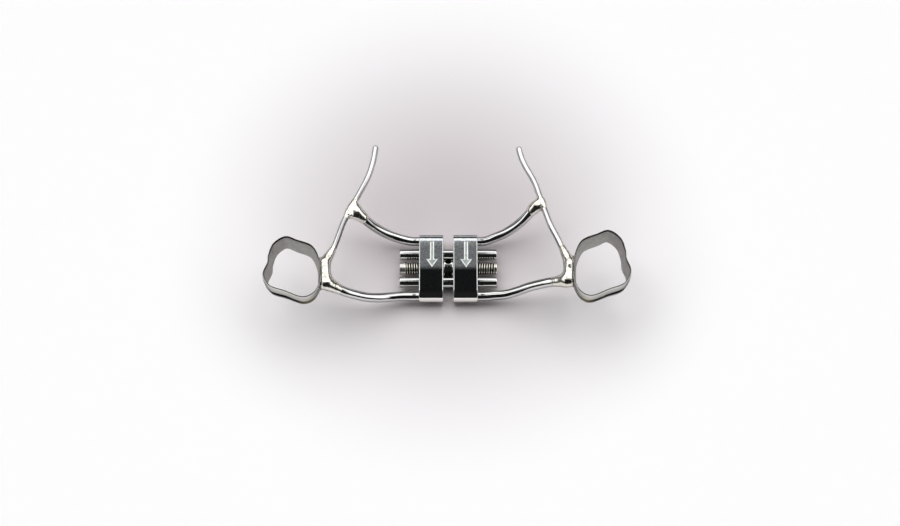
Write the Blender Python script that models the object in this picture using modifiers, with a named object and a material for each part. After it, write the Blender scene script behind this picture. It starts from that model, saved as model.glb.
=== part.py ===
"""Rapid maxillary expander: a palatal expansion screw carried on two molar bands.

Frame: +X to the right of the picture, +Y to the front teeth, +Z towards the tooth tips. The origin
is under the middle of the object, level with the flat palatal faces of the screw block.
Every place below is first measured from the screw's centre, where the spindle axis crosses the
middle plane, and the block empty then carries all of it to its height and place.
"""

import math

import bmesh
import bpy
from mathutils import Matrix, Vector

MM = 0.001

# Screw block, split in two halves
BLOCK_LENGTH = 12.1 * MM
BLOCK_THICKNESS = 3.65 * MM
HALF_WIDTH = 4.0 * MM
HALVES_GAP = 1.65 * MM
BLOCK_EDGE = 0.12 * MM

# Spindle and guide pins, which end flush with each other
SHAFT_LENGTH = 16.1 * MM

# Spindle and its hub
SPINDLE_DIAMETER = 2.3 * MM
HUB_DIAMETER = 3.0 * MM
KEY_HOLE_DIAMETER = 1.1 * MM
KEY_HOLE_TURN = math.radians(26)
END_CHAMFER = 0.15 * MM

# Guide pins
PIN_DIAMETER = 1.8 * MM
PIN_SPACING = 5.05 * MM

# Arms welded into the ends of the halves
ARM_DIAMETER = 1.5 * MM
ARM_SPACING = 10.1 * MM
ARM_SOCKET = 3.0 * MM
ARM_STRAIGHT = 1.2 * MM

# Lingual bars
BAR_DIAMETER = 0.95 * MM

# Molar bands: how far out and how far back each one sits, and its size
BAND_OUT = {"left": 25.2 * MM, "right": 24.8 * MM}
BAND_BACK = {"left": 3.6 * MM, "right": 2.9 * MM}
BAND_LENGTHS = {"left": 11.0 * MM, "right": 11.9 * MM}
BAND_WIDTH = 9.3 * MM
BAND_HEIGHT = 4.1 * MM
BAND_LIFT = 4.2 * MM
BAND_WALL = 0.18 * MM
BAND_BULGE = 0.12 * MM
BAND_TAPER = 0.4 * MM
RIM_DIP = 0.2 * MM
GUM_SCALLOP = 0.4 * MM

# Clearances
RUNNING_GAP = 0.03 * MM
SOLDER_GAP = 0.03 * MM
SEAT_GAP = 0.12 * MM

# Solder: the size of its beads, how far it runs along the wires, and how far it leans to the band
WEB_BEAD = 0.95 * MM
WEB_REACH = {"left": 1.5 * MM, "right": 1.0 * MM}
MASS_BEAD = 0.95 * MM
MASS_REACH = 3.3 * MM
MASS_ON_ARM = 1.5 * MM
MASS_LEAN = 0.35 * MM
SOLDER_GRAIN = 0.32 * MM

# Heights at which the wires meet the bands, above the band's edge at the gum
BAR_SEAT = 1.8 * MM
ARM_SEAT = 1.3 * MM

# Fineness of the round forms
BORE_SIDES = 24
TURN_STEPS = 32
ROUND_STEPS = 10
WIRE_SPACING = 1.0 * MM

# Each bar from its tip to its molar band, in millimetres from the screw's centre
BAR_POINTS = {
    "left": [
        (-12.15, 19.45, 6.0),
        (-12.35, 17.9, 5.87),
        (-12.7, 16.2, 5.77),
        (-13.25, 14.3, 5.7),
        (-14.0, 12.5, 5.64),
        (-14.85, 10.7, 5.6),
        (-15.7, 8.95, 5.6),
        (-16.55, 7.15, 5.63),
        (-17.3, 5.3, 5.68),
        (-17.85, 3.4, 5.76),
        (-18.4, 1.55, 5.86),
        (-19.05, -0.3, 5.97),
        (-19.85, -2.15, 6.0),
    ],
    "right": [
        (11.8, 19.25, 6.0),
        (12.15, 17.8, 5.87),
        (12.85, 16.05, 5.76),
        (13.75, 14.3, 5.7),
        (14.5, 12.55, 5.63),
        (15.05, 10.65, 5.6),
        (15.6, 8.8, 5.6),
        (16.15, 6.95, 5.65),
        (16.75, 5.1, 5.7),
        (17.5, 3.35, 5.8),
        (18.25, 1.55, 5.9),
        (18.85, -0.3, 5.97),
        (19.45, -2.15, 6.0),
    ],
}

# Each arm from where it leaves its straight root to its far end, in millimetres
ARM_POINTS = {
    "anterior_left": [
        (-6.05, 5.05, 0.0),
        (-7.6, 5.3, 0.2),
        (-9.2, 5.55, 0.85),
        (-10.6, 5.85, 1.65),
        (-11.9, 6.25, 2.6),
        (-13.2, 6.8, 3.7),
        (-14.75, 7.9, 4.85),
    ],
    "anterior_right": [
        (6.05, 5.05, 0.0),
        (7.6, 5.6, 0.2),
        (9.0, 5.9, 0.8),
        (10.4, 6.35, 1.7),
        (11.7, 6.9, 2.75),
        (12.8, 7.6, 3.75),
        (14.2, 8.9, 4.85),
    ],
    "posterior_left": [
        (-6.05, -5.05, 0.0),
        (-7.6, -5.1, 0.1),
        (-9.4, -5.4, 0.4),
        (-11.3, -5.9, 1.15),
        (-13.2, -6.25, 2.15),
        (-15.0, -6.3, 3.25),
        (-16.8, -6.15, 4.3),
        (-19.2, -5.4, 5.45),
    ],
    "posterior_right": [
        (6.05, -5.05, 0.0),
        (7.6, -4.95, 0.1),
        (9.4, -4.95, 0.4),
        (11.2, -4.75, 1.15),
        (13.0, -4.5, 2.15),
        (14.8, -4.5, 3.25),
        (16.6, -4.6, 4.3),
        (19.2, -4.85, 5.45),
    ],
}

# Outline of a right band seen from above, as shares of its half width outwards and half length
# forwards. The dent on the outer side is the groove between the two outer cusps.
BAND_OUTLINE = [
    (-0.98, -0.15),
    (-0.94, 0.25),
    (-0.68, 0.68),
    (-0.15, 0.88),
    (0.28, 1.0),
    (0.68, 0.76),
    (0.84, 0.38),
    (0.86, 0.12),
    (1.0, -0.26),
    (0.78, -0.63),
    (0.24, -0.81),
    (-0.38, -1.0),
    (-0.78, -0.87),
    (-0.99, -0.54),
]
OUTLINE_STEPS = 4
WALL_LEVELS = [0.0, 0.12, 0.35, 0.62, 0.85, 1.0]

SIDES = {"left": -1, "right": 1}


def swell(level):
    """How far a band's wall stands out at a share of its height: it draws in towards the gum."""
    return 4 * BAND_BULGE * level * (1 - level) - BAND_TAPER * (1 - level) ** 2


# Sizes worked out from the ones above
BAND_SWELL = max(swell(level) for level in WALL_LEVELS)
INNER_FACE = HALVES_GAP / 2
OUTER_FACE = INNER_FACE + HALF_WIDTH
FRONT_REACH = max(points[0][1] for points in BAR_POINTS.values()) * MM + BAR_DIAMETER / 2
BACK_REACH = max(BAND_BACK[side] + BAND_LENGTHS[side] / 2 for side in SIDES) + BAND_SWELL
SCREW_X = (BAND_OUT["left"] - BAND_OUT["right"]) / 2
SCREW_Y = (BACK_REACH - FRONT_REACH) / 2
SCREW_Z = BLOCK_THICKNESS / 2
BAND_INNER = {side: BAND_OUT[side] - BAND_WIDTH / 2 - BAND_SWELL for side in SIDES}


def empty(name, parent=None, location=(0, 0, 0)):
    """An axis cross that carries other objects."""
    obj = bpy.data.objects.new(name, None)
    obj.empty_display_size = 2 * MM
    obj.location = location
    obj.parent = parent
    bpy.context.scene.collection.objects.link(obj)
    return obj


def add_mesh(name, mesh, parent, material=None):
    """A mesh object: a part with a material, or a cutter without one."""
    obj = bpy.data.objects.new(name, mesh)
    obj.parent = parent
    if material:
        parts.objects.link(obj)
        mesh.materials.append(material)
        mesh.shade_smooth()
        mesh.set_sharp_from_angle(angle=math.radians(35))
    else:
        cutters.objects.link(obj)
        obj.hide_render = True
        obj.display_type = "WIRE"
    return obj


def mesh_of(source, scale=1.0, weld=1e-6):
    """The mesh that a curve or metaball object makes, welded shut, with the source removed."""
    bpy.context.scene.collection.objects.link(source)
    evaluated = source.evaluated_get(bpy.context.evaluated_depsgraph_get())
    mesh = bpy.data.meshes.new_from_object(evaluated)
    bpy.data.objects.remove(source)
    shape = bmesh.new()
    shape.from_mesh(mesh)
    bmesh.ops.scale(shape, vec=(scale, scale, scale), verts=shape.verts)
    bmesh.ops.remove_doubles(shape, verts=shape.verts, dist=weld)
    bmesh.ops.recalc_face_normals(shape, faces=shape.faces)
    shape.to_mesh(mesh)
    shape.free()
    return mesh


def cut(obj, cutter):
    """Takes the cutter's shape out of the object."""
    modifier = obj.modifiers.new("cut_" + cutter.name, "BOOLEAN")
    modifier.operation = "DIFFERENCE"
    modifier.solver = "EXACT"
    modifier.object = cutter


def metal(name, colour, roughness):
    material = bpy.data.materials.new(name)
    material.use_nodes = True
    shader = material.node_tree.nodes["Principled BSDF"]
    shader.inputs["Base Color"].default_value = (*colour, 1.0)
    shader.inputs["Metallic"].default_value = 1.0
    shader.inputs["Roughness"].default_value = roughness
    return material


def between(a, b, c, d, t):
    """Catmull-Rom point between b and c."""
    return 0.5 * (
        2 * b + (c - a) * t + (2 * a - 5 * b + 4 * c - d) * t**2 + (3 * b - a - 3 * c + d) * t**3
    )


def smooth_path(points, spacing):
    """An open smooth curve through the points, with a point about every spacing."""
    ends = [2 * points[0] - points[1], *points, 2 * points[-1] - points[-2]]
    path = []
    for a, b, c, d in zip(ends, ends[1:], ends[2:], ends[3:]):
        steps = max(1, round((c - b).length / spacing))
        path += [between(a, b, c, d, i / steps) for i in range(steps)]
    return path + [points[-1]]


def smooth_loop(points, steps):
    """A closed smooth curve through the points."""
    count = len(points)
    loop = []
    for i in range(count):
        a, b, c, d = (points[(i + k) % count] for k in (-1, 0, 1, 2))
        loop += [between(a, b, c, d, k / steps) for k in range(steps)]
    return loop


def reseat(points, start, end):
    """Carries a bent wire's points along when either of its ends moves."""
    last = len(points) - 1
    moved = []
    for i, point in enumerate(points):
        share = i / last
        moved.append(point + (start - points[0]) * (1 - share) + (end - points[-1]) * share)
    return moved


def in_mm(points):
    return [Vector(point) * MM for point in points]


def tube(path, radius, nose_start, nose_end, grow=0.0):
    """Mesh of a round wire along the path, with round noses past its ends where asked.

    With grow it is the same wire made fatter and longer by that much, to cut its own seat.
    """
    radius += grow
    first = (path[0] - path[1]).normalized()
    last = (path[-1] - path[-2]).normalized()
    turns = [math.radians(angle) for angle in (30, 58, 82)]
    stations = [(point, 1.0) for point in path]
    if nose_start:
        tip = [(path[0] + first * radius * math.sin(a), math.cos(a)) for a in turns]
        stations = tip[::-1] + stations
    else:
        stations[0] = (path[0] + first * grow, 1.0)
    if nose_end:
        stations += [(path[-1] + last * radius * math.sin(a), math.cos(a)) for a in turns]
    else:
        stations[-1] = (path[-1] + last * grow, 1.0)
    curve = bpy.data.curves.new("wire", "CURVE")
    curve.dimensions = "3D"
    curve.bevel_depth = radius
    curve.bevel_resolution = 4
    curve.use_fill_caps = True
    spline = curve.splines.new("POLY")
    spline.points.add(len(stations) - 1)
    for point, (place, share) in zip(spline.points, stations):
        point.co = (*place, 1.0)
        point.radius = share
    return mesh_of(bpy.data.objects.new("wire", curve))


def rod(name, radius, start, end, parent, direction=Vector((1, 0, 0)), centre=Vector()):
    """A cylindrical cutter along the direction, from start to end measured from the centre."""
    shape = bmesh.new()
    bmesh.ops.create_cone(
        shape,
        cap_ends=True,
        segments=BORE_SIDES,
        radius1=radius,
        radius2=radius,
        depth=end - start,
    )
    turn = direction.to_track_quat("Z", "Y").to_matrix().to_4x4()
    place = Matrix.Translation(centre + direction * (start + end) / 2)
    bmesh.ops.transform(shape, matrix=place @ turn, verts=shape.verts)
    mesh = bpy.data.meshes.new(name)
    shape.to_mesh(mesh)
    shape.free()
    return add_mesh(name, mesh, parent)


def stadium(length, thickness):
    """Points of a flat bar's end outline with fully round ends."""
    radius = thickness / 2
    middle = length / 2 - radius
    points = []
    for side in (1, -1):
        for i in range(ROUND_STEPS + 1):
            angle = math.pi * i / ROUND_STEPS - math.pi / 2
            points.append((side * (middle + radius * math.cos(angle)), side * radius * math.sin(angle)))
    return points


def make_half(side):
    """One half of the screw block, bored for the spindle, the guide pins and the arms."""
    name = "body_" + side
    parent = halves[side]
    outline = bpy.data.curves.new(name, "CURVE")
    outline.dimensions = "2D"
    outline.fill_mode = "BOTH"
    outline.extrude = HALF_WIDTH / 2
    spline = outline.splines.new("POLY")
    points = stadium(BLOCK_LENGTH, BLOCK_THICKNESS)
    spline.points.add(len(points) - 1)
    for point, (y, z) in zip(spline.points, points):
        point.co = (y, z, 0, 1)
    spline.use_cyclic_u = True
    mesh = mesh_of(bpy.data.objects.new(name, outline))
    # The outline's plane becomes YZ and its thickness runs along X.
    upright = Matrix(((0, 0, 1, 0), (1, 0, 0, 0), (0, 1, 0, 0), (0, 0, 0, 1)))
    sign = SIDES[side]
    mesh.transform(Matrix.Translation((sign * (INNER_FACE + HALF_WIDTH / 2), 0, 0)) @ upright)
    half = add_mesh(name, mesh, parent, block_steel)
    rounding = half.modifiers.new("rounded_edges", "BEVEL")
    rounding.width = BLOCK_EDGE
    rounding.segments = 2
    rounding.limit_method = "ANGLE"
    rounding.angle_limit = math.radians(50)

    across = Vector((sign, 0, 0))
    near = INNER_FACE - SEAT_GAP
    far = OUTER_FACE + SEAT_GAP
    bore = SPINDLE_DIAMETER / 2 + RUNNING_GAP
    cut(half, rod(f"spindle_bore_{side}", bore, near, far, parent, across))
    for place, y in (("anterior", 1), ("posterior", -1)):
        pin_line = Vector((0, y * PIN_SPACING / 2, 0))
        arm_line = Vector((0, y * ARM_SPACING / 2, 0))
        pin_bore = PIN_DIAMETER / 2 + RUNNING_GAP
        socket = ARM_DIAMETER / 2 + SOLDER_GAP
        bottom = OUTER_FACE - ARM_SOCKET - SOLDER_GAP
        cut(half, rod(f"pin_bore_{place}_{side}", pin_bore, near, far, parent, across, pin_line))
        cut(half, rod(f"socket_{place}_{side}", socket, bottom, far, parent, across, arm_line))


def turned(name, profile, parent, material):
    """A piece turned about the X axis from (x, radius) points, which run from left to right."""
    mesh = bpy.data.meshes.new(name)
    # The profile is drawn at +X going down and then laid on its side.
    points = [(radius, 0, -x) for x, radius in profile]
    mesh.from_pydata(points, [(i, i + 1) for i in range(len(points) - 1)], [])
    obj = add_mesh(name, mesh, parent, material)
    obj.rotation_euler = (0, -math.pi / 2, 0)
    screw = obj.modifiers.new("turn", "SCREW")
    screw.steps = TURN_STEPS
    screw.render_steps = TURN_STEPS
    screw.use_merge_vertices = True
    screw.merge_threshold = 1e-6
    screw.use_smooth_shade = True
    return obj


def make_spindle():
    """The spindle with its hub in the middle, and two key holes drilled across the hub."""
    end = SHAFT_LENGTH / 2
    radius = SPINDLE_DIAMETER / 2
    hub_end = INNER_FACE - RUNNING_GAP
    hub = HUB_DIAMETER / 2
    right = [
        (hub_end - END_CHAMFER, hub),
        (hub_end, hub - END_CHAMFER),
        (hub_end, radius),
        (end - END_CHAMFER, radius),
        (end, radius - END_CHAMFER),
        (end, 0.0),
    ]
    left = [(-x, r) for x, r in reversed(right)]
    spindle = turned("spindle", left + right, spindle_axis, spindle_steel)
    for name, turn in (("first", 0), ("second", math.pi / 2)):
        angle = KEY_HOLE_TURN + turn
        drill = Vector((0, math.sin(angle), math.cos(angle)))
        reach = HUB_DIAMETER
        cut(spindle, rod(f"key_hole_{name}", KEY_HOLE_DIAMETER / 2, -reach, reach, spindle_axis, drill))


def make_pin(place, y):
    """A plain guide pin with broken edges."""
    end = SHAFT_LENGTH / 2
    radius = PIN_DIAMETER / 2
    right = [(end - END_CHAMFER, radius), (end, radius - END_CHAMFER), (end, 0.0)]
    left = [(-x, r) for x, r in reversed(right)]
    pin = turned(f"guide_pin_{place}", left + right, guides, pin_steel)
    pin.location = (0, y * PIN_SPACING / 2, 0)


def bar_path(side):
    """Centre line of a bar, from its front tip to its end on the molar band."""
    points = in_mm(BAR_POINTS[side])
    out = BAND_INNER[side] - SEAT_GAP - BAR_DIAMETER / 2
    seat = Vector((SIDES[side] * out, points[-1].y, BAND_LIFT + BAR_SEAT))
    return smooth_path(reseat(points, points[0], seat), WIRE_SPACING)


def arm_path(place, side, seat):
    """Centre line of an arm, from the bottom of its socket to its seat."""
    sign = SIDES[side]
    y = ARM_SPACING / 2 * (1 if place == "anterior" else -1)
    root = Vector((sign * (OUTER_FACE - ARM_SOCKET), y, 0))
    leaves = Vector((sign * (OUTER_FACE + ARM_STRAIGHT), y, 0))
    face = Vector((sign * OUTER_FACE, y, 0))
    bends = reseat(in_mm(ARM_POINTS[f"{place}_{side}"]), leaves, seat)
    return [root] + smooth_path([face, *bends], WIRE_SPACING)


def seat_on_bar(path, toward):
    """Where an arm's round nose stops beside the bar, on the side that the arm comes from."""
    nearest = min(path, key=lambda point: (point - toward).length)
    off = (toward - nearest).normalized()
    return nearest + off * (BAR_DIAMETER / 2 + ARM_DIAMETER / 2 + SEAT_GAP)


def band_ring(side, level, grow=0.0):
    """The band's outer outline at a share of its height, pushed out by grow."""
    sign = SIDES[side]
    half_width = BAND_WIDTH / 2
    half_length = BAND_LENGTHS[side] / 2
    centre = Vector((BAND_OUT[side], -BAND_BACK[side], 0))
    shape = smooth_loop([Vector((u, v, 0)) for u, v in BAND_OUTLINE], OUTLINE_STEPS)
    ring = [centre + Vector((p.x * half_width, p.y * half_length, 0)) for p in shape]
    out = grow + swell(level)
    count = len(ring)
    points = []
    for i, point in enumerate(ring):
        along = ring[(i + 1) % count] - ring[i - 1]
        normal = Vector((-along.y, along.x, 0)).normalized()
        forward = abs(shape[i].y) ** 2
        gum = BAND_LIFT + GUM_SCALLOP * forward
        rim = BAND_LIFT + BAND_HEIGHT - RIM_DIP * forward
        place = point + normal * out
        points.append(Vector((sign * place.x, place.y, gum + (rim - gum) * level)))
    return points


def loft(name, rings, closed):
    """Faces between rings of equal count, with the two ends closed where asked."""
    shape = bmesh.new()
    rows = [[shape.verts.new(point) for point in ring] for ring in rings]
    count = len(rings[0])
    for low, high in zip(rows, rows[1:]):
        for i in range(count):
            j = (i + 1) % count
            shape.faces.new((low[i], low[j], high[j], high[i]))
    if closed:
        shape.faces.new(rows[0])
        shape.faces.new(rows[-1])
    bmesh.ops.recalc_face_normals(shape, faces=shape.faces)
    mesh = bpy.data.meshes.new(name)
    shape.to_mesh(mesh)
    shape.free()
    return mesh


def make_band(side):
    """A molar band: one thin contoured ring, open above and below."""
    name = "molar_band_" + side
    rings = [band_ring(side, level) for level in WALL_LEVELS]
    band = add_mesh(name, loft(name, rings, closed=False), halves[side], band_steel)
    wall = band.modifiers.new("wall", "SOLIDIFY")
    wall.thickness = BAND_WALL
    wall.offset = -1
    wall.use_even_offset = True


def band_filling(side):
    """Cutter with the band's outer form, filled, and a little larger all round."""
    levels = [-0.5, *WALL_LEVELS, 1.4]
    rings = [band_ring(side, level, SOLDER_GAP) for level in levels]
    name = "band_filling_" + side
    return add_mesh(name, loft(name, rings, closed=True), halves[side])


def solder_mesh(beads):
    """A melted mass: metaballs at the beads, given as a place and a radius.

    The metaballs are worked out in grains of solder, because they need sizes near one.
    """
    data = bpy.data.metaballs.new("solder")
    data.resolution = 1.0
    data.render_resolution = 1.0
    data.threshold = 0.6
    for place, radius in beads:
        ball = data.elements.new(type="BALL")
        ball.co = place / SOLDER_GRAIN
        ball.radius = radius / SOLDER_GRAIN * 1.7
        ball.stiffness = 2.0
    return mesh_of(bpy.data.objects.new("solder", data), scale=SOLDER_GRAIN)


def keep_largest(obj):
    """Drops crumbs that a cut leaves beside the main piece of a solder joint."""
    graph = bpy.context.evaluated_depsgraph_get()
    mesh = bpy.data.meshes.new_from_object(obj.evaluated_get(graph))
    shape = bmesh.new()
    shape.from_mesh(mesh)
    left = set(shape.faces)
    islands = []
    while left:
        island = set()
        front = [left.pop()]
        while front:
            face = front.pop()
            island.add(face)
            near = {other for edge in face.edges for other in edge.link_faces} & left
            left -= near
            front += near
        islands.append(island)
    islands.sort(key=lambda island: sum(face.calc_area() for face in island))
    crumbs = [face for island in islands[:-1] for face in island]
    bmesh.ops.delete(shape, geom=crumbs, context="FACES")
    shape.to_mesh(mesh)
    shape.free()
    obj.modifiers.clear()
    obj.data = mesh


def make_solder(place, side, beads, seats):
    """A solder joint run round the wires and the band, which keep their own seats in it."""
    mass = add_mesh(f"solder_{place}_{side}", solder_mesh(beads), halves[side], solder_silver)
    skin = mass.modifiers.new("even_skin", "REMESH")
    skin.mode = "VOXEL"
    skin.voxel_size = SOLDER_GRAIN
    skin.use_smooth_shade = True
    for seat in seats:
        cut(mass, seat)
    bpy.context.view_layer.update()
    keep_largest(mass)


def wire_with_seat(name, path, radius, nose_start, side):
    """A wire, and the cutter that opens its seat in the solder."""
    add_mesh(name, tube(path, radius, nose_start, True), halves[side], wire_steel)
    seat = tube(path, radius, nose_start, True, grow=SOLDER_GAP)
    return add_mesh("seat_of_" + name, seat, halves[side])


def walk(path, start, distance):
    """The point on a path at a distance from its point nearest to start, towards its end."""
    here = min(range(len(path)), key=lambda i: (path[i] - start).length)
    step = 1 if distance > 0 else -1
    left = abs(distance)
    while 0 <= here + step < len(path):
        leg = path[here + step] - path[here]
        if leg.length >= left:
            return path[here] + leg * (left / leg.length)
        left -= leg.length
        here += step
    return path[here]


def make_side(side):
    """Everything that one half of the block carries out to its molar."""
    sign = SIDES[side]
    make_half(side)
    make_band(side)

    bar_line = bar_path(side)
    back_y = ARM_POINTS[f"posterior_{side}"][-1][1] * MM
    back_out = BAND_INNER[side] - SEAT_GAP - ARM_DIAMETER / 2
    arm_seat = Vector((sign * back_out, back_y, BAND_LIFT + ARM_SEAT))
    front_seat = seat_on_bar(bar_line, in_mm(ARM_POINTS[f"anterior_{side}"])[-1])
    front_line = arm_path("anterior", side, front_seat)
    back_line = arm_path("posterior", side, arm_seat)
    bar = wire_with_seat("bar_" + side, bar_line, BAR_DIAMETER / 2, True, side)
    front = wire_with_seat("arm_anterior_" + side, front_line, ARM_DIAMETER / 2, False, side)
    back = wire_with_seat("arm_posterior_" + side, back_line, ARM_DIAMETER / 2, False, side)

    # The web between the anterior arm and the bar
    reach = WEB_REACH[side]
    joint = (front_seat + walk(bar_line, front_seat, 0)) / 2
    ahead = walk(bar_line, front_seat, -reach)
    behind = walk(bar_line, front_seat, reach)
    web = [
        (joint, 1.0),
        (front_seat, 1.05),
        (walk(front_line, front_seat, -reach * 0.6), 1.0),
        (joint.lerp(ahead, 0.75), 0.7),
        (joint.lerp(behind, 0.75), 0.9),
        (front_seat.lerp(behind, 0.5), 0.85),
    ]
    web = [(place, share * WEB_BEAD) for place, share in web]
    make_solder("premolar", side, web, [bar, front])

    # The mass that fills the corner between the bar, the band and the posterior arm
    end = bar_line[-1]
    lean = Vector((sign * MASS_LEAN, 0, 0))
    mass = [
        (walk(bar_line, end, -MASS_REACH), 0.62),
        (walk(bar_line, end, -MASS_REACH * 0.65) + lean, 0.88),
        (walk(bar_line, end, -MASS_REACH * 0.3) + lean, 0.95),
        (end + lean, 1.0),
        (end.lerp(arm_seat, 0.4) + lean, 1.0),
        (end.lerp(arm_seat, 0.7), 1.05),
        (arm_seat, 1.05),
        (walk(back_line, arm_seat, -MASS_ON_ARM), 0.98),
    ]
    mass = [(place, share * MASS_BEAD) for place, share in mass]
    make_solder("molar", side, mass, [bar, back, band_filling(side)])


for old in list(bpy.data.objects):
    bpy.data.objects.remove(old)

parts = bpy.data.collections.new("rapid_maxillary_expander")
cutters = bpy.data.collections.new("cutters")
bpy.context.scene.collection.children.link(parts)
bpy.context.scene.collection.children.link(cutters)

block_steel = metal("brushed_stainless_steel", (0.56, 0.56, 0.57), 0.28)
spindle_steel = metal("turned_stainless_steel", (0.60, 0.60, 0.60), 0.22)
pin_steel = metal("ground_stainless_steel", (0.64, 0.64, 0.65), 0.16)
wire_steel = metal("polished_stainless_wire", (0.66, 0.66, 0.66), 0.14)
band_steel = metal("polished_band_steel", (0.68, 0.68, 0.67), 0.12)
solder_silver = metal("silver_solder", (0.80, 0.79, 0.75), 0.22)

block = empty("block", None, (SCREW_X, SCREW_Y, SCREW_Z))
guides = empty("guides", block)
spindle_axis = empty("spindle_axis", guides)
halves = {side: empty("half_" + side, guides) for side in SIDES}

make_spindle()
for where, toward in (("anterior", 1), ("posterior", -1)):
    make_pin(where, toward)
for which in SIDES:
    make_side(which)
bpy.context.view_layer.update()
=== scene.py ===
# %% [markdown]
# # A rapid maxillary expander in polished steel
#
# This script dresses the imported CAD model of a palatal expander. The CAD holds the measured solids,
# and each piece made here takes a solid's place with the detail that a photograph shows: threads,
# engraved arrows, rolled band edges and flowed solder. All sizes below are in millimetres, measured
# from the screw's centre, and they are turned into metres only when a mesh is made.

# %% Load the frame
import math
from itertools import product

import bmesh
import bpy
import numpy as np
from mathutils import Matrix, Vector


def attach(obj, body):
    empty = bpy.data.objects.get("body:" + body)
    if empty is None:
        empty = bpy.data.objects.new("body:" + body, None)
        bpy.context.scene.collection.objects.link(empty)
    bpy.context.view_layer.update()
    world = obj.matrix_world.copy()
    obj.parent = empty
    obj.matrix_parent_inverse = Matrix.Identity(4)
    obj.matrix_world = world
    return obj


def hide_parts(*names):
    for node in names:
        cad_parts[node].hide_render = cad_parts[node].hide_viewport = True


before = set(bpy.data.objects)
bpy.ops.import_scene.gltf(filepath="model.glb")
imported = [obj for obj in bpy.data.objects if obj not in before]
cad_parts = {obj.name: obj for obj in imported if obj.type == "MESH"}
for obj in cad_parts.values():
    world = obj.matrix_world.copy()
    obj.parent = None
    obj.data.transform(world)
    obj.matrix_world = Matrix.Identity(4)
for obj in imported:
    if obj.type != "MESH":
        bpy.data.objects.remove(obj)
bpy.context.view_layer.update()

# %% [markdown]
# ## Sizes
#
# These are the CAD model's own sizes. The two halves of the screw block mirror each other, but the
# hand-bent wires and the bands don't, so both sides have their own points.

# %% Sizes in millimetres
MM = 0.001
SIDES = {"left": -1, "right": 1}
SCREW = np.array([0.2, -5.385, 1.825])

INNER_FACE, OUTER_FACE = 0.825, 4.825
BLOCK_LENGTH, BLOCK_THICKNESS, BLOCK_EDGE = 12.1, 3.65, 0.13
CROWN = 0.11
SHAFT_END = 8.05
SPINDLE_RADIUS, HUB_RADIUS, KEY_HOLE_RADIUS, KEY_HOLE_TURN = 1.15, 1.5, 0.55, 26
THREAD_PITCH, THREAD_DEPTH = 0.4, 0.25
PIN_RADIUS, PIN_LINE = 0.9, 2.525
ARM_RADIUS, ARM_LINE, BAR_RADIUS = 0.75, 5.05, 0.475

BAR_POINTS = {
    "left": [
        (-12.15, 19.45, 6.0), (-12.35, 17.9, 5.87), (-12.71, 16.2, 5.77), (-13.26, 14.3, 5.7),
        (-14.02, 12.5, 5.64), (-14.87, 10.7, 5.6), (-15.72, 8.95, 5.6), (-16.58, 7.15, 5.63),
        (-17.33, 5.3, 5.68), (-17.89, 3.4, 5.76), (-18.44, 1.55, 5.86), (-19.1, -0.3, 5.97),
        (-19.9, -2.15, 6.0),
    ],
    "right": [
        (11.8, 19.25, 6.0), (12.15, 17.8, 5.87), (12.86, 16.05, 5.76), (13.76, 14.3, 5.7),
        (14.52, 12.55, 5.63), (15.07, 10.65, 5.6), (15.62, 8.8, 5.6), (16.18, 6.95, 5.65),
        (16.78, 5.1, 5.7), (17.54, 3.35, 5.8), (18.29, 1.55, 5.9), (18.9, -0.3, 5.97),
        (19.5, -2.15, 6.0),
    ],
}
ARM_POINTS = {
    "anterior_left": [
        (-4.83, 5.05, 0.0), (-6.03, 5.05, 0.0), (-7.62, 5.3, 0.22), (-9.26, 5.56, 0.89),
        (-10.7, 5.86, 1.71), (-12.05, 6.27, 2.68), (-13.39, 6.82, 3.8), (-14.98, 7.93, 4.97),
    ],
    "posterior_left": [
        (-4.83, -5.05, 0.0), (-6.03, -5.05, 0.0), (-7.64, -5.1, 0.11), (-9.5, -5.4, 0.41),
        (-11.47, -5.9, 1.17), (-13.43, -6.25, 2.18), (-15.3, -6.3, 3.29), (-17.16, -6.15, 4.34),
        (-19.62, -5.4, 5.5),
    ],
    "anterior_right": [
        (4.83, 5.05, 0.0), (6.03, 5.05, 0.0), (7.61, 5.62, 0.22), (9.04, 5.94, 0.84),
        (10.48, 6.41, 1.76), (11.81, 6.99, 2.83), (12.95, 7.71, 3.85), (14.38, 9.03, 4.97),
    ],
    "posterior_right": [
        (4.83, -5.05, 0.0), (6.03, -5.05, 0.0), (7.58, -4.95, 0.11), (9.39, -4.95, 0.41),
        (11.2, -4.75, 1.17), (13.0, -4.5, 2.18), (14.81, -4.5, 3.29), (16.62, -4.6, 4.34),
        (19.22, -4.85, 5.5),
    ],
}

BAND_OUT = {"left": 25.2, "right": 24.8}
BAND_BACK = {"left": 3.6, "right": 2.9}
BAND_LENGTHS = {"left": 11.0, "right": 11.9}
BAND_WIDTH, BAND_HEIGHT, BAND_LIFT, BAND_WALL = 9.3, 4.1, 4.2, 0.18
BAND_BULGE, BAND_TAPER, RIM_DIP, GUM_SCALLOP = 0.12, 0.4, 0.2, 0.4
BAND_OUTLINE = [
    (-0.98, -0.15), (-0.94, 0.25), (-0.68, 0.68), (-0.15, 0.88), (0.28, 1.0), (0.68, 0.76),
    (0.84, 0.38), (0.86, 0.12), (1.0, -0.26), (0.78, -0.63), (0.24, -0.81), (-0.38, -1.0),
    (-0.78, -0.87), (-0.99, -0.54),
]
print("screw block", BLOCK_LENGTH, "mm long, bands", BAND_LENGTHS, "mm long")

# %% [markdown]
# ## Making meshes
#
# Most pieces are a row of rings joined by quads: a turned shaft, a bent wire and the wall of a band
# differ only in where their rings lie. The bores, key holes and arrows are then cut with Booleans,
# which are applied at once so that no hidden cutter stays in the scene.
#
# Smooth shading bends the light over a whole quad, so a mirror-flat face needs one more ring close
# to each rounded edge. Without it the face would look bent from edge to edge.

# %% Mesh helpers
# How far that extra ring lies from the rounded edge
HOLD = 0.02


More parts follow.
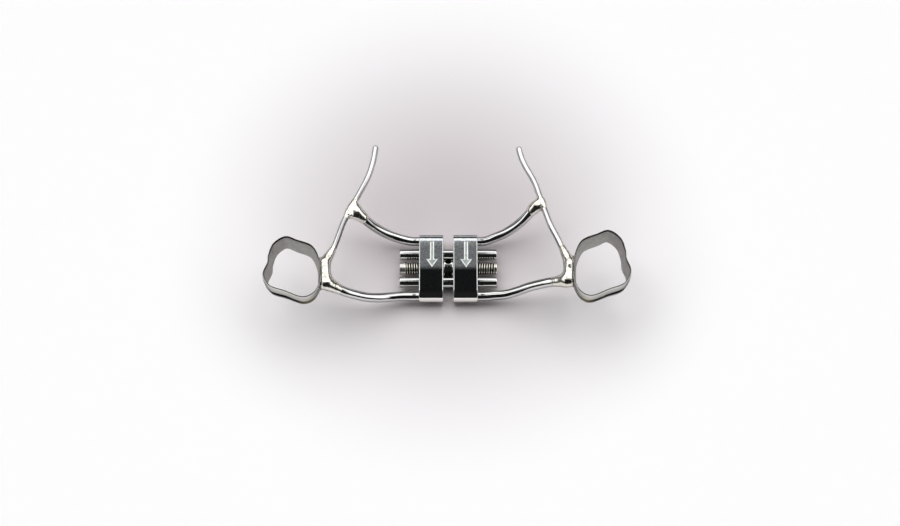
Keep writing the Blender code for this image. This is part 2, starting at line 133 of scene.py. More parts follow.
def unit(rows):
    """The rows, each scaled to length one."""
    return rows / np.linalg.norm(rows, axis=1)[:, None]


def right_of(rows):
    """Directions in a plane, turned a quarter to the right."""
    return np.stack([rows[:, 1], -rows[:, 0]], axis=1)


def skin(rings, ends="capped"):
    """Points and faces of a tube through rings of equal count, capped or joined end to end."""
    rings = np.asarray(rings, float)
    count, sides = rings.shape[:2]
    faces = []
    for i in range(count if ends == "joined" else count - 1):
        here, there = i * sides, (i + 1) % count * sides
        for j in range(sides):
            k = (j + 1) % sides
            faces.append((here + j, here + k, there + k, there + j))
    if ends == "capped":
        faces.append(tuple(range(sides)))
        faces.append(tuple((count - 1) * sides + j for j in range(sides)))
    return rings.reshape(-1, 3), faces


def mesh_object(name, shape, materials):
    """An object from points in millimetres and faces, with its faces turned outwards."""
    points, faces = shape
    mesh = bpy.data.meshes.new(name)
    mesh.from_pydata(((np.asarray(points) + SCREW) * MM).tolist(), [], faces)
    work = bmesh.new()
    work.from_mesh(mesh)
    bmesh.ops.recalc_face_normals(work, faces=work.faces)
    work.to_mesh(mesh)
    work.free()
    for material in materials:
        mesh.materials.append(material)
    obj = bpy.data.objects.new(name, mesh)
    bpy.context.scene.collection.objects.link(obj)
    return obj


def apply_modifiers(obj):
    """Keeps what the modifiers make as the object's own mesh."""
    graph = bpy.context.evaluated_depsgraph_get()
    made = bpy.data.meshes.new_from_object(obj.evaluated_get(graph))
    obj.modifiers.clear()
    obj.data = made


def carve(obj, cutters):
    """Takes the cutters out of the object. A cut face keeps its cutter's material."""
    for cutter in cutters:
        cut = obj.modifiers.new("cut", "BOOLEAN")
        cut.operation = "DIFFERENCE"
        cut.solver = "EXACT"
        cut.material_mode = "TRANSFER"
        cut.object = cutter
    apply_modifiers(obj)
    for cutter in cutters:
        bpy.data.objects.remove(cutter)


def finish(obj, body, slot, *nodes, sharp=35):
    """Smooths the piece, lets it ride on its body and puts it in place of the CAD nodes."""
    obj.data.shade_smooth()
    obj.data.set_sharp_from_angle(angle=math.radians(sharp))
    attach(obj, body)
    if nodes:
        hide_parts(*nodes)
    print(f"{obj.name}: {len(obj.data.polygons)} faces")
    return obj


def turned(profile, sides):
    """Rings of a piece turned about the X axis, from (x, radius) points."""
    angles = np.linspace(0, 2 * math.pi, sides, endpoint=False)
    return [
        np.stack([np.full(sides, x), r * np.sin(angles), r * np.cos(angles)], axis=1)
        for x, r in profile
    ]


def rounded_corner(x, r, size, steps=4):
    """Profile points round an edge at (x, r). The first one keeps the shaft before it straight."""
    angles = np.linspace(0, math.pi / 2, steps + 1)
    round_part = [(x - size * (1 - math.sin(a)), r - size * (1 - math.cos(a))) for a in angles]
    return [(x - size - HOLD, r)] + round_part


def both_ends(profile):
    """The whole profile of a piece whose left end mirrors its right one."""
    return [(-x, r) for x, r in reversed(profile)] + profile


def curve_point(a, b, c, d, t):
    """A point of the Catmull-Rom curve from b to c, a share t of the way along."""
    return 0.5 * (2 * b + (c - a) * t + (2 * a - 5 * b + 4 * c - d) * t**2
                  + (3 * b - a - 3 * c + d) * t**3)


def smooth_path(points, spacing):
    """Catmull-Rom curve through the points."""
    points = [np.array(p, float) for p in points]
    points = [2 * points[0] - points[1], *points, 2 * points[-1] - points[-2]]
    path = []
    for a, b, c, d in zip(points, points[1:], points[2:], points[3:]):
        for t in np.arange(0, 1, 1 / max(1, round(np.linalg.norm(c - b) / spacing))):
            path.append(curve_point(a, b, c, d, t))
    return np.array(path + [points[-2]])


# %% [markdown]
# ## Materials
#
# Everything here is metal, so colour says little and finish says nearly all. A base colour gives
# the tint of what a surface mirrors, and roughness says how sharp that mirror is. Patterns are
# measured in millimetres, because a scratch on a part this small is a few hundredths wide.

# %% Material helpers
def linear(hex_colour):
    """The linear RGB values of an sRGB colour such as d8d4cf."""
    shares = [int(hex_colour[i:i + 2], 16) / 255 for i in (0, 2, 4)]
    return [s / 12.92 if s <= 0.04045 else ((s + 0.055) / 1.055) ** 2.4 for s in shares]


def add_node(tree, kind, sockets=None, **settings):
    """Adds a node, sets it up, and fills its sockets with values or with other nodes' outputs."""
    node = tree.nodes.new(kind)
    for key, value in settings.items():
        setattr(node, key, value)
    for socket, value in (sockets or {}).items():
        if isinstance(value, bpy.types.NodeSocket):
            tree.links.new(value, node.inputs[socket])
        else:
            node.inputs[socket].default_value = value
    return node


def noise(tree, size, stretch=(1, 1, 1), detail=3.0, along=None):
    """Noise whose lumps are about size millimetres across, longer where stretch is below one.

    along names a stored attribute to measure in, in place of the object's own coordinates.
    """
    if along:
        where = add_node(tree, "ShaderNodeAttribute", attribute_name=along).outputs["Vector"]
    else:
        where = add_node(tree, "ShaderNodeTexCoord").outputs["Object"]
    scale = [s / (size * MM) for s in stretch]
    placed = add_node(tree, "ShaderNodeVectorMath", {0: where, 1: scale}, operation="MULTIPLY")
    return add_node(
        tree, "ShaderNodeTexNoise", {"Vector": placed.outputs[0], "Scale": 1.0, "Detail": detail}
    ).outputs["Fac"]


def spread(tree, value, low, high, bottom=0.35, top=0.65):
    """Carries a pattern's middle range over to the range from low to high."""
    return add_node(
        tree,
        "ShaderNodeMapRange",
        {"Value": value, "From Min": bottom, "From Max": top, "To Min": low, "To Max": high},
    ).outputs["Result"]


def ramp(tree, value, start, end, low=0.0, high=1.0):
    """A smooth step from low to high as the value goes from start to end."""
    return add_node(
        tree,
        "ShaderNodeMapRange",
        {"Value": value, "From Min": start, "From Max": end, "To Min": low, "To Max": high},
        interpolation_type="SMOOTHSTEP",
    ).outputs["Result"]


def compute(tree, operation, *values):
    """One mathematical operation on numbers or on other nodes' outputs."""
    sockets = dict(enumerate(values))
    return add_node(tree, "ShaderNodeMath", sockets, operation=operation).outputs[0]


def join(tree, operation, *values):
    """The values carried through one mathematical operation, two at a time."""
    result = values[0]
    for value in values[1:]:
        result = compute(tree, operation, result, value)
    return result


def mixed(tree, factor, first, second):
    """A colour that goes from the first to the second, each a socket or an sRGB colour."""
    first, second = ((*linear(c), 1.0) if isinstance(c, str) else c for c in (first, second))
    return add_node(
        tree, "ShaderNodeMix", {"Factor": factor, "A": first, "B": second}, data_type="RGBA"
    ).outputs["Result"]


def split(tree, kind, output):
    """The X, Y and Z of the place or direction that a node gives."""
    vector = add_node(tree, kind).outputs[output]
    return add_node(tree, "ShaderNodeSeparateXYZ", {0: vector}).outputs


def overlay(material, share, colour):
    """Lays a colour over a material's own where the share says so."""
    tree = material.node_tree
    base = tree.nodes["Principled BSDF"].inputs["Base Color"]
    tree.links.new(mixed(tree, share, base.links[0].from_socket, colour), base)


def metal(name, tints, roughness, lumps, grain, depth, stretch=(1, 1, 1), tint_size=1.5, rim=0.3):
    """A metal whose tint and roughness drift across it, over a fine grain of a given depth.

    lumps, grain and tint_size are the pattern sizes of roughness, grain and tint in millimetres,
    and depth is the grain's height. rim is the share of light that the metal still mirrors at a
    glancing 82 degrees. Steel mirrors a little less there, and a low rim goes well past that: the
    dark outlines it draws along wires and pins are painted shade.
    """
    material = bpy.data.materials.new(name)
    material.use_nodes = True
    tree = material.node_tree
    shader = tree.nodes["Principled BSDF"]
    shader.inputs["Metallic"].default_value = 1.0
    shader.inputs["Specular Tint"].default_value = (rim, rim, rim, 1.0)
    tint = mixed(tree, spread(tree, noise(tree, tint_size), 0.0, 1.0), *tints)
    tree.links.new(tint, shader.inputs["Base Color"])
    rough = spread(tree, noise(tree, lumps, stretch), *roughness)
    tree.links.new(rough, shader.inputs["Roughness"])
    bump = add_node(
        tree,
        "ShaderNodeBump",
        {"Height": noise(tree, grain, stretch), "Distance": depth * MM, "Strength": 1.0},
    )
    tree.links.new(bump.outputs["Normal"], shader.inputs["Normal"])
    return material


# %% [markdown]
# ## The finishes
#
# A ground pin, a drawn wire and a burnished band are nearly the same steel. What tells them apart
# is the tool that touched them last, so each finish here is named for that tool and gets its own
# tint, roughness and grain. A few also carry painted shade or a painted highlight. The values
# were found by holding renders beside the photograph.

# %% Materials
# Ground and lightly tumbled: nearly a mirror, with a mottled blue-green haze left by the abrasive.
block_steel = metal(
    "tumbled_block_steel_painted_highlight", ("b4bbca", "dee1d8"), (0.003, 0.006),
    lumps=0.3, grain=0.25, depth=0.00003, tint_size=0.4,
)
# Painted highlight: the broken edges and front ends, the faces that neither lie flat nor face the far
# side, are painted whiter than the flats.
tree = block_steel.node_tree
facing = split(tree, "ShaderNodeNewGeometry", "Normal")
level = compute(tree, "ABSOLUTE", facing["Z"])
share = join(tree, "MULTIPLY", ramp(tree, level, 0.97, 0.85), ramp(tree, facing["Y"], 0.5, 0.35))
overlay(block_steel, share, "f6f6f2")
# Laser-marked lines: rough enough to gather light from all round, so they read pale.
marked_steel = metal(
    "laser_marked_steel", ("f2f4f2", "e2e6e2"), (0.45, 0.6),
    lumps=0.2, grain=0.1, depth=0.004, tint_size=0.6, rim=1.0,
)
# Inside an arrow's lines one light pass of the laser leaves a faint frost.
frosted_steel = metal(
    "laser_frosted_steel", ("7d8589", "9aa09c"), (0.24, 0.32),
    lumps=0.2, grain=0.1, depth=0.001, tint_size=0.5, rim=0.8,
)
# Turned steel: sharp crests catch the light along the thread.
thread_steel = metal(
    "turned_thread_steel", ("e6e5dd", "efece2"), (0.06, 0.12),
    lumps=0.4, grain=0.12, depth=0.0002, stretch=(3, 0.4, 0.4),
)
# The plain end past the left thread is left as the tool turned it, so its mirror is blurred.
turned_steel = metal(
    "dull_turned_end", ("cfccca", "dedbd8"), (0.3, 0.4),
    lumps=0.3, grain=0.1, depth=0.001, tint_size=0.6,
)
# Painted shade: the bottom of a thread and the wall of a drilled hole are painted near black, for the
# shade where little light gets in.
recess_steel = metal(
    "painted_shade_recess", ("2c2b26", "4a493d"), (0.3, 0.45),
    lumps=0.3, grain=0.1, depth=0.001, tint_size=0.5,
)
# Ground pins and the hub: the cleanest mirror on the object, with painted shade along their outlines
# from a rim of zero.
pin_steel = metal(
    "ground_pin_steel", ("dadada", "e2e2e1"), (0.04, 0.08),
    lumps=0.5, grain=0.2, depth=0.0001, stretch=(0.25, 1, 1), rim=0.0,
)
# Electropolished spring-hard wire: bright, with faint unevenness from bending pliers, and painted
# shade along its outlines from a rim of zero.
wire_steel = metal(
    "electropolished_wire", ("d8d8d7", "e0e0de"), (0.05, 0.12),
    lumps=0.6, grain=0.7, depth=0.001, rim=0.0,
)
# The drawing die leaves faint darker lines along the wire.
tree = wire_steel.node_tree
lines = noise(tree, 0.3, (1, 1, 0.03), along="drawn")
overlay(wire_steel, spread(tree, lines, 0.0, 0.75, 0.52, 0.66), "6f6b6d")
# Rolled band strip: a hand-burnished mirror outside.
band_steel = metal(
    "burnished_band_strip_painted_shade", ("d6d6d4", "dedcd6"), (0.05, 0.13),
    lumps=0.9, grain=1.2, depth=0.004, tint_size=2.0,
)
# A soft stripe on the strip's front faces, from about 6 to 9 mm above the floor, is painted dark:
# painted shade for the dark crevice at the gum that the lower wall would mirror. Towards the joint
# it turns straw yellow.
tree = band_steel.node_tree
place = split(tree, "ShaderNodeTexCoord", "Object")
facing = split(tree, "ShaderNodeNewGeometry", "Normal")
outwards = compute(tree, "ABSOLUTE", place["X"])
wander = spread(tree, noise(tree, 1.6, detail=1.0), -0.15 * MM, 0.15 * MM)
height = join(tree, "ADD", place["Z"], wander)
shade_and_straw_stripe = mixed(tree, ramp(tree, outwards, 24.5 * MM, 22.0 * MM), "2e2b2a", "a9a27a")
share = join(
    tree,
    "MULTIPLY",
    ramp(tree, height, 8.7 * MM, 8.1 * MM),
    ramp(tree, height, 6.2 * MM, 7.7 * MM, 0.1, 1.0),
    ramp(tree, facing["Y"], -0.45, -0.85),
)
overlay(band_steel, share, shade_and_straw_stripe)
# The tooth side of a band is etched matt so that cement holds on it.
etched_steel = metal(
    "etched_band_inside", ("a9a8a6", "b6b4b0"), (0.4, 0.55),
    lumps=0.3, grain=0.08, depth=0.004, tint_size=0.8, rim=0.7,
)
# The inner part of the rim and the cut edge at the gum: duller than the rolled face, and painted dark
# as shade.
edge_shade_steel = metal(
    "band_edges_painted_shade", ("2b2a2a", "4b4944"), (0.25, 0.4),
    lumps=0.4, grain=0.1, depth=0.001, tint_size=1.2,
)
# Silver solder: whiter and warmer than the steel, with a skin and grey patches left by cooling. Its
# low rim paints shade along its outlines.
solder_silver = metal(
    "flowed_silver_solder", ("f2f0e9", "e8e4d8"), (0.12, 0.26),
    lumps=0.4, grain=0.5, depth=0.003, tint_size=0.9, rim=0.1,
)
tree = solder_silver.node_tree
overlay(solder_silver, spread(tree, noise(tree, 0.8), 0.0, 0.7, 0.52, 0.68), "8b8574")
print("materials:", len(bpy.data.materials))

# %% [markdown]
# ## The spindle
#
# The spindle carries a right-hand thread on one side and a left-hand one on the other, so one turn
# pushes both halves apart. Its hub has two holes drilled across it for the key.

# %% Spindle
RUNNING_GAP, EDGE_BREAK, TIP_BREAK = 0.03, 0.15, 0.12
PLAIN_END, THREAD_RUN_OUT, THREAD_FADE, CREST_LOSS, END_LOSS = 0.9, 0.15, 0.25, 0.06, 0.02


def thread(start, end, hand, sides=64, steps=12):
    """Rings of a shaft with a screw thread cut into it, fading out at both ends."""
    count = round(abs(end - start) / THREAD_PITCH * steps)
    xs = np.linspace(start, end, count + 1)
    angles = np.linspace(0, 2 * math.pi, sides, endpoint=False)
    turn = xs[:, None] / THREAD_PITCH - hand * angles[None, :] / (2 * math.pi)
    # A wave that is cut off above and below, which leaves narrow flats on crests and roots
    ridge = np.clip(0.5 + 0.62 * np.cos(2 * math.pi * turn), 0, 1)
    fade = np.clip(np.minimum(xs - xs.min(), xs.max() - xs) / THREAD_FADE, 0, 1)[:, None]
    radius = SPINDLE_RADIUS - THREAD_DEPTH * (1 - ridge) * fade - CREST_LOSS * (1 - fade)
    place = np.broadcast_to(xs[:, None], radius.shape)
    return np.stack([place, radius * np.sin(angles), radius * np.cos(angles)], axis=2)


hub_end = INNER_FACE - RUNNING_GAP
hub_profile = both_ends(rounded_corner(hub_end, HUB_RADIUS, EDGE_BREAK))
hub = mesh_object("spindle_hub", skin(turned(hub_profile, 128)), [pin_steel])
drills = []
for turn in (KEY_HOLE_TURN, KEY_HOLE_TURN + 90):
    # Drawn along X and then stood up across the hub; the wide ends break the holes' edges.
    drill = turned(both_ends([(1.4, KEY_HOLE_RADIUS), (2.2, 1.0)]), 64)
    a = math.radians(turn)
    rotated = [
        np.stack([ring[:, 1], ring[:, 0] * math.sin(a) + ring[:, 2] * math.cos(a),
                  ring[:, 0] * math.cos(a) - ring[:, 2] * math.sin(a)], axis=1)
        for ring in drill
    ]
    # The holes' walls take the recess steel, painted dark as shade.
    drills.append(mesh_object("drill", skin(rotated), [recess_steel]))
carve(hub, drills)
finish(hub, "spindle", "turned_stainless_steel", "spindle")

tip = rounded_corner(SHAFT_END, SPINDLE_RADIUS - CREST_LOSS, TIP_BREAK)
left_tip = turned([(-x, r - END_LOSS) for x, r in reversed(tip)], 64)
ends = {
    "left": left_tip + list(thread(PLAIN_END - SHAFT_END, -hub_end, -1)),
    "right": list(thread(hub_end, SHAFT_END - THREAD_RUN_OUT, 1)) + turned(tip, 64),
}
steels = [thread_steel, recess_steel, turned_steel]
for side, rings in ends.items():
    shaft = mesh_object(f"spindle_thread_{side}", skin(rings), steels)
    for face in shaft.data.polygons:
        x, *from_axis = np.array(face.center) / MM - SCREW
        # Faces deep in the thread take the recess steel, painted dark as shade.
        deep = np.linalg.norm(from_axis) < SPINDLE_RADIUS - 0.6 * THREAD_DEPTH
        face.material_index = int(deep and len(face.vertices) == 4)
        if x < PLAIN_END - SHAFT_END:
            face.material_index = 2
    finish(shaft, "spindle", "turned_stainless_steel", sharp=60)

# %% [markdown]
# ## The guide pins
#
# Two plain ground pins keep the halves parallel. Their ends are just broken, which gives each end a
# fine bright ring.

# %% Guide pins
profile = both_ends(rounded_corner(SHAFT_END, PIN_RADIUS, EDGE_BREAK))
for place, line in (("anterior", PIN_LINE), ("posterior", -PIN_LINE)):
    rings = np.array(turned(profile, 96)) + (0, line, 0)
    pin = mesh_object(f"guide_pin_ground_{place}", skin(rings), [pin_steel])
    finish(pin, "guides", "ground_stainless_steel", f"guide_pin_{place}")

# %% [markdown]
# ## The screw block's halves
#
# Each half is a flat bar with round ends. Its top isn't quite flat: tumbling leaves it crowned by a
# tenth of a millimetre, and that is why a studio's dark and light parts meet in a line across it.
# A plain arrow is engraved on each half to show the way to turn the screw.

# %% Block outline
# Half the length of the top and underside between the round ends
FLAT = (BLOCK_LENGTH - BLOCK_THICKNESS) / 2


def top_height(y):
    """Height of a half's crowned top."""
    return BLOCK_THICKNESS / 2 - CROWN * np.minimum(np.abs(y) / FLAT, 1) ** 2


def half_outline(steps=24):
    """The half's end outline in Y and Z: crowned top, round ends and flat underside."""
    radius = BLOCK_THICKNESS / 2
    top = [(y, top_height(y)) for y in np.linspace(FLAT, -FLAT, 29)]
    shrink = 1 - CROWN / radius
    back = []
    for a in np.linspace(0, math.pi, steps + 1)[1:-1]:
        z = radius * math.cos(a)
        back.append((-FLAT - radius * math.sin(a), z * shrink if z > 0 else z))
    front = [(-y, z) for y, z in reversed(back)]
    under = [(y, -radius) for y in np.linspace(-FLAT, FLAT, 9)]
    return np.array(top + back + under + front)


def inset(outline, distance):
    """The outline moved inwards."""
    normal = unit(right_of(np.roll(outline, -1, 0) - np.roll(outline, 1, 0)))
    if (normal * (outline - outline.mean(0))).sum() > 0:
        normal = -normal
    return outline + normal * distance


# %% [markdown]
# ## Arrows and bores
#
# A laser marks an arrow as a fine sunken line with a breath of frost inside it. Both are cut with
# shallow cutters that follow the crowned top, so the line is equally deep all along. The bores are
# turned cutters, opened a little at the face as a countersink leaves them.

# %% Arrows and bores
# Half the width of an arrow's shaft and of its head, the head's length and the shaft's upper end
ARROW_SIZES = (0.24, 0.81, 1.26, 4.1)
# Where each arrow lies on its half: its middle line in X and its tip in Y
ARROWS = {"left": (-2.68, -0.42), "right": (2.94, -0.46)}
# How far the arrow's cutters stand out above the top
ABOVE = 0.05


def arrow_field(middle, tip_y, sink=0.012):
    """A very shallow cutter as wide as the arrow, which leaves the frost inside its lines."""
    shaft, head, base, top = ARROW_SIZES
    shoulder = tip_y + base
    stations = [(tip_y, 0.01), (tip_y + base * 0.5, head * 0.5), (shoulder - 0.001, head)]
    stations += [(y, shaft) for y in (shoulder, *np.linspace(shoulder + 0.5, top, 7))]
    rings = []
    for y, half in stations:
        z = top_height(y)
        corners = [(-half, z - sink), (half, z - sink), (half, z + ABOVE), (-half, z + ABOVE)]
        rings.append([(middle + x, y, height) for x, height in corners])
    return skin(rings)


def arrow_groove(middle, tip_y, sink=0.06, width=0.1):
    """A thin closed tube along an arrow's outline, half sunk in the crowned top."""
    shaft, head, base, top = ARROW_SIZES
    corners = [
        (-shaft, top), (-shaft, tip_y + base), (-head, tip_y + base), (0, tip_y),
        (head, tip_y + base), (shaft, tip_y + base), (shaft, top),
    ]
    path = []
    for a, b in zip(corners, corners[1:] + corners[:1]):
        a, b = np.array(a), np.array(b)
        steps = max(2, round(np.linalg.norm(b - a) / 0.4))
        path += [a + (b - a) * t for t in np.linspace(0, 1, steps, endpoint=False)]
    path = np.array(path)
    ahead = unit(np.roll(path, -1, 0) - path)
    behind = unit(path - np.roll(path, 1, 0))
    across = right_of(unit(ahead + behind))
    # The line keeps its width round a corner, but a sharp corner's spike is held short
    across /= np.maximum((across * right_of(ahead)).sum(1), 0.4)[:, None]
    flank = -sink * 0.4
    section = [(-width, ABOVE), (-width, flank), (0, -sink), (width, flank), (width, ABOVE)]
    rings = []
    for (x, y), (right, up) in zip(path, across):
        z = top_height(y)
        rings.append([(middle + x + right * u, y + up * u, z + h) for u, h in section])
    return skin(rings, ends="joined")


# Where the cutters for bores and arm sockets start and end along X, and how far they open
BORE_START, SOCKET_BOTTOM, PAST_FACE = 0.5, 1.8, 5.2
BORE_MOUTH, SOCKET_MOUTH = 0.06, 0.03


def bore(shaft_radius, start, line, sign, mouth=BORE_MOUTH):
    """A cutter along X for a shaft's bore, whose mouth at the outer face is slightly opened."""
    radius = shaft_radius + RUNNING_GAP
    wide = radius + mouth
    profile = [(start, radius), (OUTER_FACE - mouth, radius), (OUTER_FACE, wide), (PAST_FACE, wide)]
    rings = np.array(turned(profile, 64)) + (0, line, 0)
    return skin(rings * (sign, 1, 1))


# %% [markdown]
# ## Cutting the halves
#
# Each half is its end outline carried along X, drawn in at both faces to break the long edges. Then
# everything that runs through it or is marked on it is cut at once.

# %% Halves
# Where the half's rings lie along X, and how far each is drawn in to round the long edges
near = [
    (INNER_FACE + BLOCK_EDGE * (1 - math.cos(a)), BLOCK_EDGE * (1 - math.sin(a)))
    for a in np.linspace(0, math.pi / 2, 5)
]
near.append((INNER_FACE + BLOCK_EDGE + HOLD, 0))
far = [(OUTER_FACE + INNER_FACE - x, d) for x, d in reversed(near)]
outline = half_outline()
for side, sign in SIDES.items():
    rings = []
    for x, d in near + far:
        loop = inset(outline, d)
        rings.append(np.column_stack([np.full(len(loop), sign * x), loop]))
    half = mesh_object(f"screw_half_{side}", skin(rings), [block_steel])
    cutters = [
        mesh_object("bore", bore(SPINDLE_RADIUS, BORE_START, 0, sign), [block_steel]),
        mesh_object("field", arrow_field(*ARROWS[side]), [frosted_steel]),
        mesh_object("arrow", arrow_groove(*ARROWS[side]), [marked_steel]),
    ]
    for line in (PIN_LINE, -PIN_LINE):
        shape = bore(PIN_RADIUS, BORE_START, line, sign)
        cutters.append(mesh_object("bore", shape, [block_steel]))
    for line in (ARM_LINE, -ARM_LINE):
        shape = bore(ARM_RADIUS, SOCKET_BOTTOM, line, sign, SOCKET_MOUTH)
        cutters.append(mesh_object("socket", shape, [block_steel]))
    carve(half, cutters)
    finish(half, f"{side}_half", "brushed_stainless_steel", f"body_{side}", sharp=30)

# %% [markdown]
# ## The wires
#
# A wire is a ring carried along a smooth path. The ring is turned as little as possible from one
# step to the next, so the surface has no twist, and a rounded nose closes an end that was ground.

# %% Wires
WIRE_STEP, ARM_SOCKET = 0.2, 2.95
NOSE_TURNS = np.radians([12, 25, 38, 50, 61, 71, 80, 86])
# Where each wire's die lines start, so that no two wires show the same ones
LINE_STARTS = {"bar": 50, "anterior": 100, "posterior": 200}


def nose(end, along, radius, way):
    """Stations of the round nose past a wire's end: place, direction and share of the radius."""
    return [(end + way * along * radius * math.sin(a), along, math.cos(a)) for a in NOSE_TURNS]


def wire(path, radius, nose_start, sides=40):
    """Rings of a round wire along a path, with a nose at its end, and at its start if asked."""
    tangent = unit(np.gradient(path, axis=0))
    stations = [(p, t, 1.0) for p, t in zip(path, tangent)]
    if nose_start:
        stations = nose(path[0], tangent[0], radius, -1)[::-1] + stations
    stations += nose(path[-1], tangent[-1], radius, 1)
    across = Vector(stations[0][1]).orthogonal().normalized()
    angles = np.linspace(0, 2 * math.pi, sides, endpoint=False)
    rings = []
    for place, along, share in stations:
        along = Vector(along)
        across = (across - along * across.dot(along)).normalized()
        first, second = np.array(across), np.array(along.cross(across))
        circle = np.outer(np.cos(angles), first) + np.outer(np.sin(angles), second)
        rings.append(place + radius * share * circle)
    return rings


def wire_object(name, rings, radius, start):
    """A wire that also stores where each point lies round and along it, for the die's lines."""
    obj = mesh_object(name, skin(rings), [wire_steel])
    middles = np.mean(rings, axis=1)
    legs = np.linalg.norm(np.diff(middles, axis=0, prepend=middles[:1]), axis=1)
    along = np.cumsum(legs) + start
    turn = np.linspace(0, 2 * math.pi, len(rings[0]), endpoint=False)
    places = [[(radius * math.cos(a), radius * math.sin(a), s) for a in turn] for s in along]
    drawn = obj.data.attributes.new("drawn", "FLOAT_VECTOR", "POINT")
    drawn.data.foreach_set("vector", (np.array(places) * MM).ravel())
    return obj


def eased(path, rounds=8):
    """The path with its small kinks rubbed out and its ends kept."""
    for _ in range(rounds):
        path[1:-1] = (path[:-2] + 2 * path[1:-1] + path[2:]) / 4
    return path


bars = {side: eased(smooth_path(points, WIRE_STEP)) for side, points in BAR_POINTS.items()}
arms = {}
for name, points in ARM_POINTS.items():
    socket = np.array(points[0]) - (math.copysign(ARM_SOCKET, points[0][0]), 0, 0)
    arms[name] = np.vstack([[socket], eased(smooth_path(points, WIRE_STEP))])
for side, sign in SIDES.items():
    rings = wire(bars[side], BAR_RADIUS, True)
    bar = wire_object(f"lingual_bar_{side}", rings, BAR_RADIUS, sign * LINE_STARTS["bar"])
    finish(bar, f"{side}_half", "polished_stainless_wire", f"bar_{side}")
    for place in ("anterior", "posterior"):
        name = f"{place}_{side}"
        rings = wire(arms[name], ARM_RADIUS, False)
        arm = wire_object(f"bent_arm_{name}", rings, ARM_RADIUS, sign * LINE_STARTS[place])
        finish(arm, f"{side}_half", "polished_stainless_wire", f"arm_{name}")

# %% [markdown]
# ## The molar bands
#
# A band is strip steel a fifth of a millimetre thick, burnished against a tooth. Its wall bellies
# out a little and its edges are rolled. In front and behind, the edge at the gum is cut away, where
# the gum rises between the teeth, and the rim lies a little lower.

# %% Bands
OUTLINE_STEPS, WALL_RINGS, EDGE_STEPS = 12, 19, 8
# The materials of the rows of faces up the outside, over the rim, down the inside and under, and
# the row where each after the first begins. The rim's outer part is polished. A dark line along its
# inner part is painted shade, for the gap a tooth would leave there, and the cut edge at the gum
# is painted dark as shade too.
POLISHED, ETCHED, DARK = 0, 1, 2
ROW_STARTS, ROW_MATERIALS = (21, 28, 44), (POLISHED, DARK, ETCHED, DARK)


def swell(level):
    """How far the wall stands out at a share of its height."""
    return 4 * BAND_BULGE * level * (1 - level) - BAND_TAPER * (1 - level) ** 2


def band_outline(side):
    """The band's outline in plan, its outward normals and how near each point is to an end."""
    points = np.array(BAND_OUTLINE)
    shares = np.arange(OUTLINE_STEPS) / OUTLINE_STEPS
    loop = []
    for i in range(len(points)):
        four = [points[(i + k) % len(points)] for k in (-1, 0, 1, 2)]
        loop += [curve_point(*four, t) for t in shares]
    loop = np.array(loop)
    ring = loop * (BAND_WIDTH / 2, BAND_LENGTHS[side] / 2) + (BAND_OUT[side], -BAND_BACK[side])
    normal = -unit(right_of(np.roll(ring, -1, 0) - np.roll(ring, 1, 0)))
    return ring, normal, np.abs(loop[:, 1]) ** 2


def band_edges(near_end):
    """Heights of a band's gum edge and rim, which come nearer each other in front and behind."""
    return BAND_LIFT + GUM_SCALLOP * near_end, BAND_LIFT + BAND_HEIGHT - RIM_DIP * near_end


def band_rings(side):
    """Rings round the band's wall: up the outside, over the rim, down the inside and under."""
    ring, normal, near_end = band_outline(side)
    half = BAND_WALL / 2
    top = BAND_HEIGHT - half
    angles = np.linspace(0, math.pi, EDGE_STEPS + 1)[1:-1]
    profile = [(0.0, h) for h in np.linspace(half, top, WALL_RINGS)]
    profile += [(half - half * math.cos(a), top + half * math.sin(a)) for a in angles]
    profile += [(BAND_WALL, h) for h in np.linspace(top, half, WALL_RINGS)]
    profile += [(half + half * math.cos(a), half - half * math.sin(a)) for a in angles]
    gum, rim = band_edges(near_end)
    rings = []
    for depth, height in profile:
        level = height / BAND_HEIGHT
        place = ring + normal * (swell(level) - depth)
        rings.append(np.column_stack([place * (SIDES[side], 1), gum + (rim - gum) * level]))
    return rings


for side in SIDES:
    shape = skin(band_rings(side), ends="joined")
    band = mesh_object(f"contoured_band_{side}", shape, [band_steel, etched_steel, edge_shade_steel])
    around = len(BAND_OUTLINE) * OUTLINE_STEPS
    for face in band.data.polygons:
        row = face.index // around
        face.material_index = ROW_MATERIALS[sum(row >= start for start in ROW_STARTS)]
    finish(band, f"{side}_half", "polished_band_steel", f"molar_band_{side}", sharp=50)

# %% [markdown]
# ## The solder
#
# Molten solder wets each wire and draws itself into a smooth fillet between them. The same shape
# comes from distance fields: each wire, bead and band wall says how far away it is, a soft minimum
# blends those distances, and the surface is drawn where the blend is zero.

# %% Solder shapes
def along_path(points, path, radii):
    """Distance to a round wire whose radius runs evenly through the radii given."""
    radii = np.interp(np.linspace(0, 1, len(path)), np.linspace(0, 1, len(radii)), radii)
    nearest = np.full(len(points), 1e9)
    for a, b, r, s in zip(path, path[1:], radii, radii[1:]):
        leg = b - a
        share = np.clip((points - a) @ leg / (leg @ leg), 0, 1)
        away = np.linalg.norm(points - a - share[:, None] * leg, axis=1)
        nearest = np.minimum(nearest, away - r - (s - r) * share)
    return nearest


def beside_band(points, side):
    """How far points lie outside the middle of a band's leaning wall, and above and below it."""
    ring, normal, near_end = band_outline(side)
    # Only the side that faces the palate, where the solder sits
    inner = ring[:, 0] < BAND_OUT[side] - 2.5
    ring, normal, near_end = ring[inner], normal[inner], near_end[inner]
    away = points[:, None, :2] * (SIDES[side], 1) - ring
    nearest = (away**2).sum(axis=2).argmin(axis=1)
    gum, rim = band_edges(near_end[nearest])
    level = np.clip((points[:, 2] - gum) / (rim - gum), 0, 1)
    outside = (away[np.arange(len(points)), nearest] * normal[nearest]).sum(axis=1)
    outside += BAND_WALL / 2 - swell(level)
    return outside, np.maximum(gum - points[:, 2], points[:, 2] - rim)


